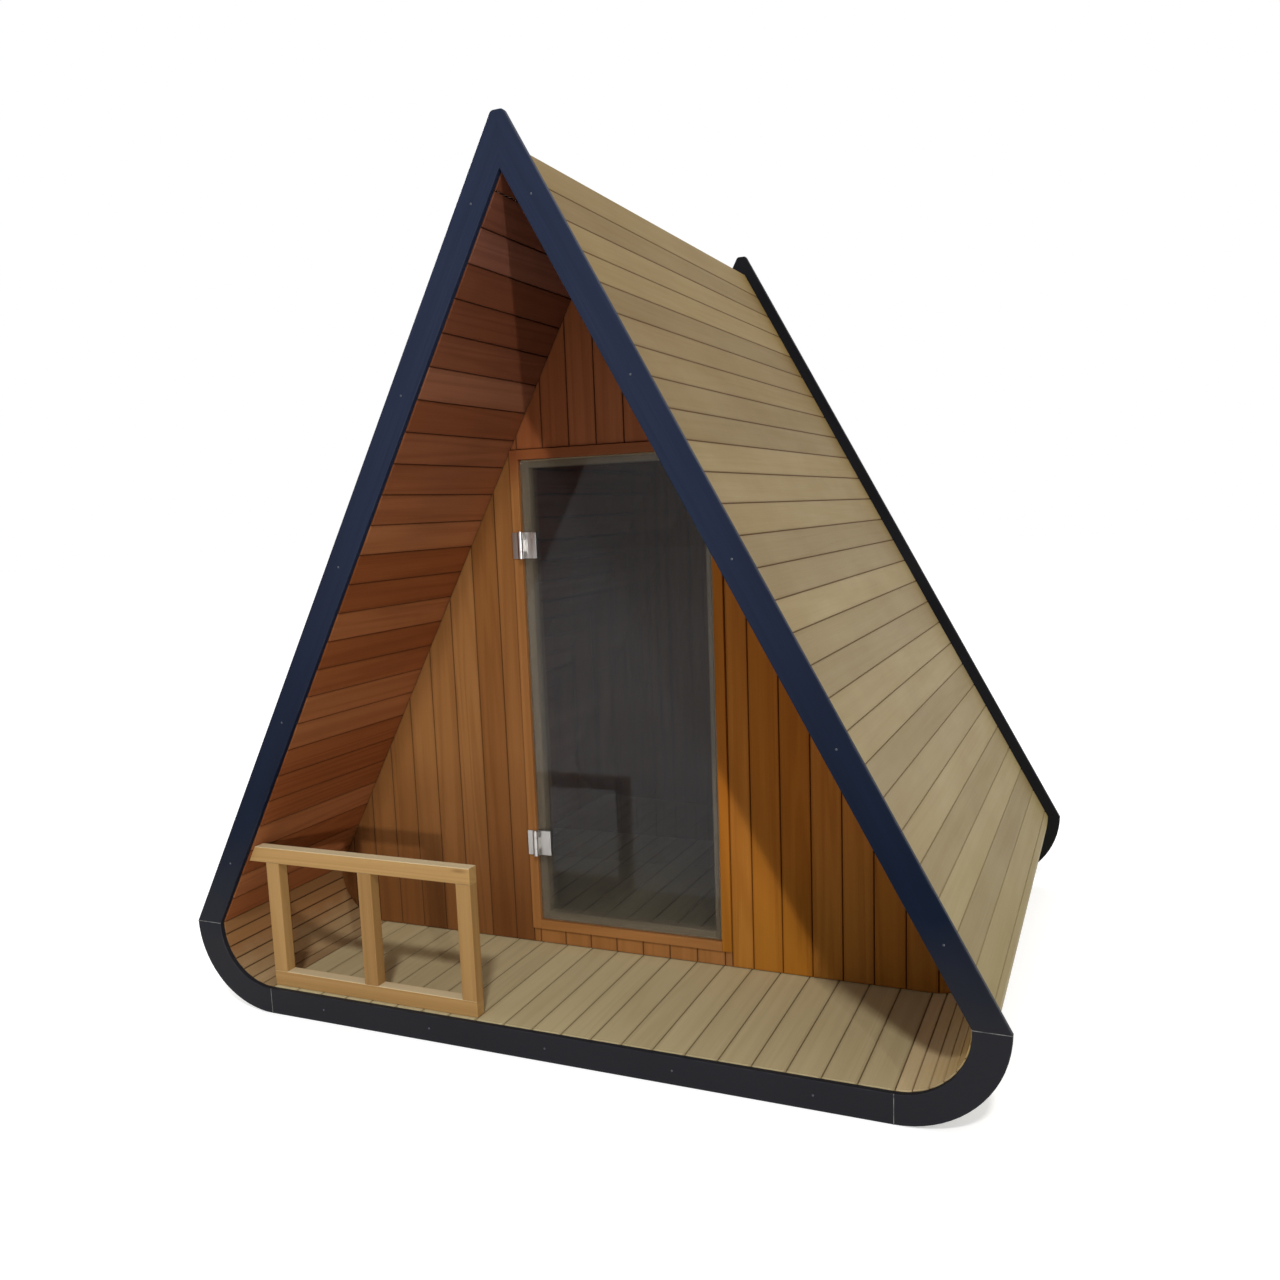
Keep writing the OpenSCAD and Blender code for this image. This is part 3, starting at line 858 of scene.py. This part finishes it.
# The slopes' inside faces take the inside finish, a darker copy that is painted shade.
SHELL_FINISHES = [SHELL_OUTSIDE, SHELL_INSIDE]
shell_slope(31).piece("right_slope_staves", SHELL_FINISHES, "cabin", ["right_slope"], "shell_wood", slope_faces_in(1))
shell_slope(32).mirrored().piece("left_slope_staves", SHELL_FINISHES, "cabin", ["left_slope"], "shell_wood",
                                 slope_faces_in(-1))
shell_corner(33, RIGHT_CORNER_TONES).piece(
    "right_corner_staves", [SHELL_OUTSIDE, RIGHT_CORNER_INSIDE], "cabin", ["right_corner"], "shell_wood",
    corner_faces_in(1))
shell_corner(34, SHADED_LEFT_CORNER_TONES).mirrored().piece(
    "left_corner_staves", [SHELL_OUTSIDE, CORNER_INSIDE], "cabin", ["left_corner"], "shell_wood",
    corner_faces_in(-1))
floor_deck(35).piece("floor_boards", [FLOOR_TIMBER], "cabin", ["floor_deck"], "shell_wood")


# End walls

def room_outline(steps=14):
    right = [corner_point(ROOM_O, k / steps) for k in range(steps + 1)]
    left = [Vector((-p.x, p.y)) for p in reversed(right)]
    return left + right + [Vector((0.0, apex_z(ROOM_O)))]


# Tones of the two dark boards left of the door, by their number from the middle of the wall
DARK_BOARDS = {-4: 0.25, -5: 0.0}
SHORTEST_BOARD_SIDE, LEAST_BOARD_AREA, SHORTEST_JAMB_SIDE = 0.004, 0.0004, 0.002


def wall_boards(outline, y, seed, tones, dark):
    timber = Timber(seed)
    first = -int(HALF_W / STAVE_PITCH) - 1
    for k in range(first, -first + 1):
        low = (k - 0.5) * STAVE_PITCH
        strip = cut([(p, 0.0) for p in outline], (low, 0), (1, 0))
        strip = cut(strip, (low + STAVE_PITCH, 0), (-1, 0))
        points = without_short_sides([p for p, _ in strip], SHORTEST_BOARD_SIDE)
        if len(points) > 2 and area_of(points) > LEAST_BOARD_AREA:
            tone = timber.draw.uniform(*tones)
            timber.grooved_board(points, y, y + WALL_T, upright, dark.get(k, tone))
    return timber


def clipped(outline, x0, x1, z0, z1):
    kept = [(p, 0.0) for p in outline]
    for point, keep in (((x0, 0), (1, 0)), ((x1, 0), (-1, 0)), ((0, z0), (0, 1)), ((0, z1), (0, -1))):
        kept = cut(kept, point, keep)
    return [p for p, _ in kept]


jamb_low, jamb_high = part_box("door_jamb_right")
threshold_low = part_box("door_threshold")[0]
head_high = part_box("door_head")[1]
FRAME_X = jamb_high[0]
WALL_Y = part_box("front_wall_left")[0][1]
BACK_WALL_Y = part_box("back_wall")[0][1]
FRAME_Z0, FRAME_Z1 = threshold_low[2], head_high[2]
ROOM = room_outline()
for part, (x0, x1, z0, z1, tones) in {
    "left": (-HALF_W, -FRAME_X, 0.0, BODY_H, (0.45, 0.75)),
    "right": (FRAME_X, HALF_W, 0.0, BODY_H, (0.2, 0.8)),
    "gable": (-FRAME_X, FRAME_X, FRAME_Z1, BODY_H, (0.2, 0.5)),
    "sill": (-FRAME_X, FRAME_X, 0.0, FRAME_Z0, (0.2, 0.5)),
}.items():
    dark = DARK_BOARDS if part == "left" else {}
    boards = wall_boards(clipped(ROOM, x0, x1, z0, z1), WALL_Y, 41 + len(part), tones, dark)
    # The right wall and the gable take shaded copies of the cedar, painted shade.
    finish = {"right": SHADED_WALL_CEDAR, "gable": SHADED_GABLE_CEDAR, "sill": FRAME_CEDAR}.get(part, WALL_CEDAR)
    boards.piece(f"front_wall_{part}_boards", [finish], "cabin", [f"front_wall_{part}"], "wall_wood")
wall_boards(ROOM, BACK_WALL_Y, 51, (0.2, 0.8), {}).piece(
    "back_wall_boards", [WALL_CEDAR], "cabin", ["back_wall"], "wall_wood")


# Door frame

STOP_W = 0.025
STOP_SETBACK = 0.022
FRAME_EASE = 0.002
FRAME_Y0, FRAME_Y1 = jamb_low[1], jamb_high[1]
DOOR_X = jamb_low[0] + STOP_W
DOOR_Z0, DOOR_Z1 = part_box("door_threshold")[1][2] - STOP_W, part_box("door_head")[0][2] + STOP_W
STOP_Y = FRAME_Y0 + STOP_SETBACK


def jamb(seed):
    timber = Timber(seed)
    front = without_short_sides(clipped(ROOM, DOOR_X, FRAME_X, FRAME_Z0, FRAME_Z1),
                                SHORTEST_JAMB_SIDE)
    timber.plain_board(front, FRAME_Y0, FRAME_Y1, upright, FRAME_EASE)
    stop = box_outline(DOOR_X - STOP_W, DOOR_X, DOOR_Z0, DOOR_Z1)
    timber.plain_board(stop, STOP_Y, FRAME_Y1, upright, FRAME_EASE, (0, 1, 2))
    return timber


def cross_piece(z0, z1, stop_z0, stop_z1, held, seed):
    timber = Timber(seed)
    timber.plain_board(box_outline(-DOOR_X, DOOR_X, z0, z1), FRAME_Y0, FRAME_Y1, across_cabin, FRAME_EASE, (1, 3))
    stop = box_outline(STOP_W - DOOR_X, DOOR_X - STOP_W, stop_z0, stop_z1)
    timber.plain_board(stop, STOP_Y, FRAME_Y1, across_cabin, FRAME_EASE, (1, 3, held))
    return timber


def stop_faces(middle, normal):
    return 1 if abs(middle.x) < DOOR_X - JOINT and DOOR_Z0 + JOINT < middle.z < DOOR_Z1 - JOINT else 0


FRAME_FINISHES = [FRAME_CEDAR, STOP_PINE]
# The right jamb takes the right wall's shaded cedar, painted shade.
jamb(61).piece("door_jamb_right_timber", [SHADED_WALL_CEDAR, STOP_PINE], "cabin", ["door_jamb_right"], "frame_wood",
               stop_faces)
jamb(62).mirrored().piece("door_jamb_left_timber", FRAME_FINISHES, "cabin", ["door_jamb_left"], "frame_wood",
                          stop_faces)
cross_piece(DOOR_Z1, FRAME_Z1, DOOR_Z1 - STOP_W, DOOR_Z1, 2, 63).piece(
    "door_head_timber", FRAME_FINISHES, "cabin", ["door_head"], "frame_wood", stop_faces)
cross_piece(FRAME_Z0, DOOR_Z0, DOOR_Z0, DOOR_Z0 + STOP_W, 0, 64).piece(
    "door_threshold_timber", FRAME_FINISHES, "cabin", ["door_threshold"], "frame_wood", stop_faces)


# Glass door and hinges

PANE_EASE = 0.001
HINGE_WELD, HINGE_EASE, HINGE_EDGE_ANGLE = 0.00002, 0.0006, 40


def front_view(low, high):
    return box_outline(low[0], high[0], low[2], high[2])


low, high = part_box("door_glass")
pane = Timber(71)
pane.plain_board(front_view(low, high), low[1], high[1], upright, PANE_EASE)
pane.piece("door_pane", [TINTED_GLASS], "door", ["door_glass"], "door_glass")

for name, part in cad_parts.items():
    if name.startswith("hinge"):
        part.data.materials.clear()
        part.data.materials.append(SATIN_STEEL)
        part.modifiers.new("joined_corners", "WELD").merge_threshold = HINGE_WELD
        eased = part.modifiers.new("eased_edges", "BEVEL")
        eased.width = HINGE_EASE
        eased.segments = 2
        eased.limit_method = "ANGLE"
        eased.angle_limit = math.radians(HINGE_EDGE_ANGLE)
        part.modifiers.new("even_normals", "WEIGHTED_NORMAL")


# Railing

RAIL_EASE, FACES_UP = 0.003, 0.7


# Faces that point up take the railing's paler top finish, painted light from above.
def rail_top(middle, normal):
    return 1 if normal.z > FACES_UP else 0


def rail_member(name, outline, run, held, seed, tone):
    low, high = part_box(name)
    timber = Timber(seed)
    timber.plain_board(outline, low[1], high[1], run, RAIL_EASE, held, tone)
    timber.piece(f"{name}_timber", [RAILING_PINE, RAILING_LIT_TOP], "cabin", [name], "railing_wood", rail_top)


for place, tone in (("left", 0.5), ("middle", 0.1), ("right", 0.45)):
    post = f"railing_post_{place}"
    rail_member(post, front_view(*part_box(post)), upright, (0, 2), 81 + len(place), tone)
rail_member("railing_bottom_rail", front_view(*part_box("railing_bottom_rail")), across_cabin, (), 88, 0.5)
low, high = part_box("railing_top_rail")
rail_member("railing_top_rail", [
    Vector((-slope_x(ROOM_O, low[2]), low[2])), Vector((high[0], low[2])),
    Vector((high[0], high[2])), Vector((-slope_x(ROOM_O, high[2]), high[2])),
], across_cabin, (3,), 89, 0.85)


# Floor, light and camera. The camera was fitted to the photo's straight edges.

FLOOR_REACH, FLOOR_DROP = 40.0, 0.0005
FLOOR_GREY, FLOOR_GLOW = (0.8, 0.8, 0.8, 1), 0.45
WHITE = (1, 1, 1, 1)
HORIZON_LIGHT, OVERHEAD_LIGHT = 0.26, 0.65
CAMERA_PLACE = (1.42865, -3.58892, 1.49123)
CAMERA_RIGHT = Vector((0.91203, 0.40817, -0.03993))
CAMERA_DOWN = Vector((0.02557, -0.15377, -0.98778))
CAMERA_AHEAD = Vector((-0.40932, 0.89986, -0.15068))
LENS_LENGTH, SENSOR_WIDTH, LENS_SHIFT, CAMERA_REACH = 32.174, 36.0, (0.0229, 0.03615), 200.0


def seen_rays(tree):
    """1 for what the camera sees itself, in a mirror or through glass, 0 for light on the surfaces."""
    path = node(tree, "ShaderNodeLightPath").outputs
    seen = maths(tree, "MAXIMUM", path["Is Camera Ray"], path["Is Glossy Ray"])
    return maths(tree, "MAXIMUM", seen, path["Is Transmission Ray"])


def add_floor():
    mesh = bpy.data.meshes.new("studio_floor")
    corners = [(x * FLOOR_REACH, y * FLOOR_REACH, 0) for x, y in ((-1, -1), (1, -1), (1, 1), (-1, 1))]
    mesh.from_pydata(corners, [], [(0, 1, 2, 3)])
    floor = bpy.data.objects.new("studio_floor", mesh)
    floor.location.z = -FLOOR_DROP
    bpy.context.collection.objects.link(floor)
    finish, tree, shader = new_finish("studio_floor")
    dress(tree, shader, Base_Color=FLOOR_GREY, Roughness=0.9, Specular_IOR_Level=0.0)
    glow = node(tree, "ShaderNodeEmission", {"Color": WHITE, "Strength": FLOOR_GLOW})
    both = node(tree, "ShaderNodeAddShader", {0: shader.outputs[0], 1: glow.outputs[0]})
    choice = node(tree, "ShaderNodeMixShader", {0: seen_rays(tree), 1: shader.outputs[0], 2: both.outputs[0]})
    feed(tree, tree.nodes["Material Output"].inputs["Surface"], choice.outputs[0])
    mesh.materials.append(finish)


def add_world():
    world = bpy.data.worlds.new("studio")
    bpy.context.scene.world = world
    world.use_nodes = True
    tree = world.node_tree
    rise = height_of(tree, node(tree, "ShaderNodeTexCoord").outputs["Generated"])
    light = ranged(tree, rise, 0.0, 1.0, HORIZON_LIGHT, OVERHEAD_LIGHT)
    soft = node(tree, "ShaderNodeBackground", {"Color": WHITE, "Strength": light})
    white = node(tree, "ShaderNodeBackground", {"Color": WHITE, "Strength": 1.0})
    choice = node(tree, "ShaderNodeMixShader", {0: seen_rays(tree), 1: soft.outputs[0], 2: white.outputs[0]})
    feed(tree, tree.nodes["World Output"].inputs["Surface"], choice.outputs[0])


def add_sun(name, towards, strength, angle):
    lamp = bpy.data.lights.new(name, "SUN")
    lamp.energy = strength
    lamp.angle = math.radians(angle)
    holder = bpy.data.objects.new(name, lamp)
    holder.rotation_euler = Vector(towards).to_track_quat("-Z", "Y").to_euler()
    bpy.context.collection.objects.link(holder)


def add_high_lamp(name, place, power, radius):
    lamp = bpy.data.lights.new(name, "POINT")
    lamp.energy = power
    lamp.shadow_soft_size = radius
    holder = bpy.data.objects.new(name, lamp)
    holder.location = place
    bpy.context.collection.objects.link(holder)


def add_camera():
    lens = bpy.data.cameras.new("photo_camera")
    lens.sensor_width = SENSOR_WIDTH
    lens.lens = LENS_LENGTH
    lens.shift_x, lens.shift_y = LENS_SHIFT
    lens.clip_end = CAMERA_REACH
    camera = bpy.data.objects.new("photo_camera", lens)
    turn = Matrix((CAMERA_RIGHT, -CAMERA_DOWN, -CAMERA_AHEAD)).transposed()
    camera.matrix_world = Matrix.Translation(CAMERA_PLACE) @ turn.to_4x4()
    bpy.context.collection.objects.link(camera)
    bpy.context.scene.camera = camera


add_floor()
add_world()
add_high_lamp("front_lamp", place=(4.2, -10.3, 11.6), power=4400.0, radius=0.65)
add_sun("side_lamp", towards=(-0.86, 1.0, -0.18), strength=1.35, angle=1.5)
add_sun("back_lamp", towards=(0.75, -0.55, -0.45), strength=1.4, angle=15.0)
add_camera()
bpy.context.scene.view_settings.view_transform = "Standard"
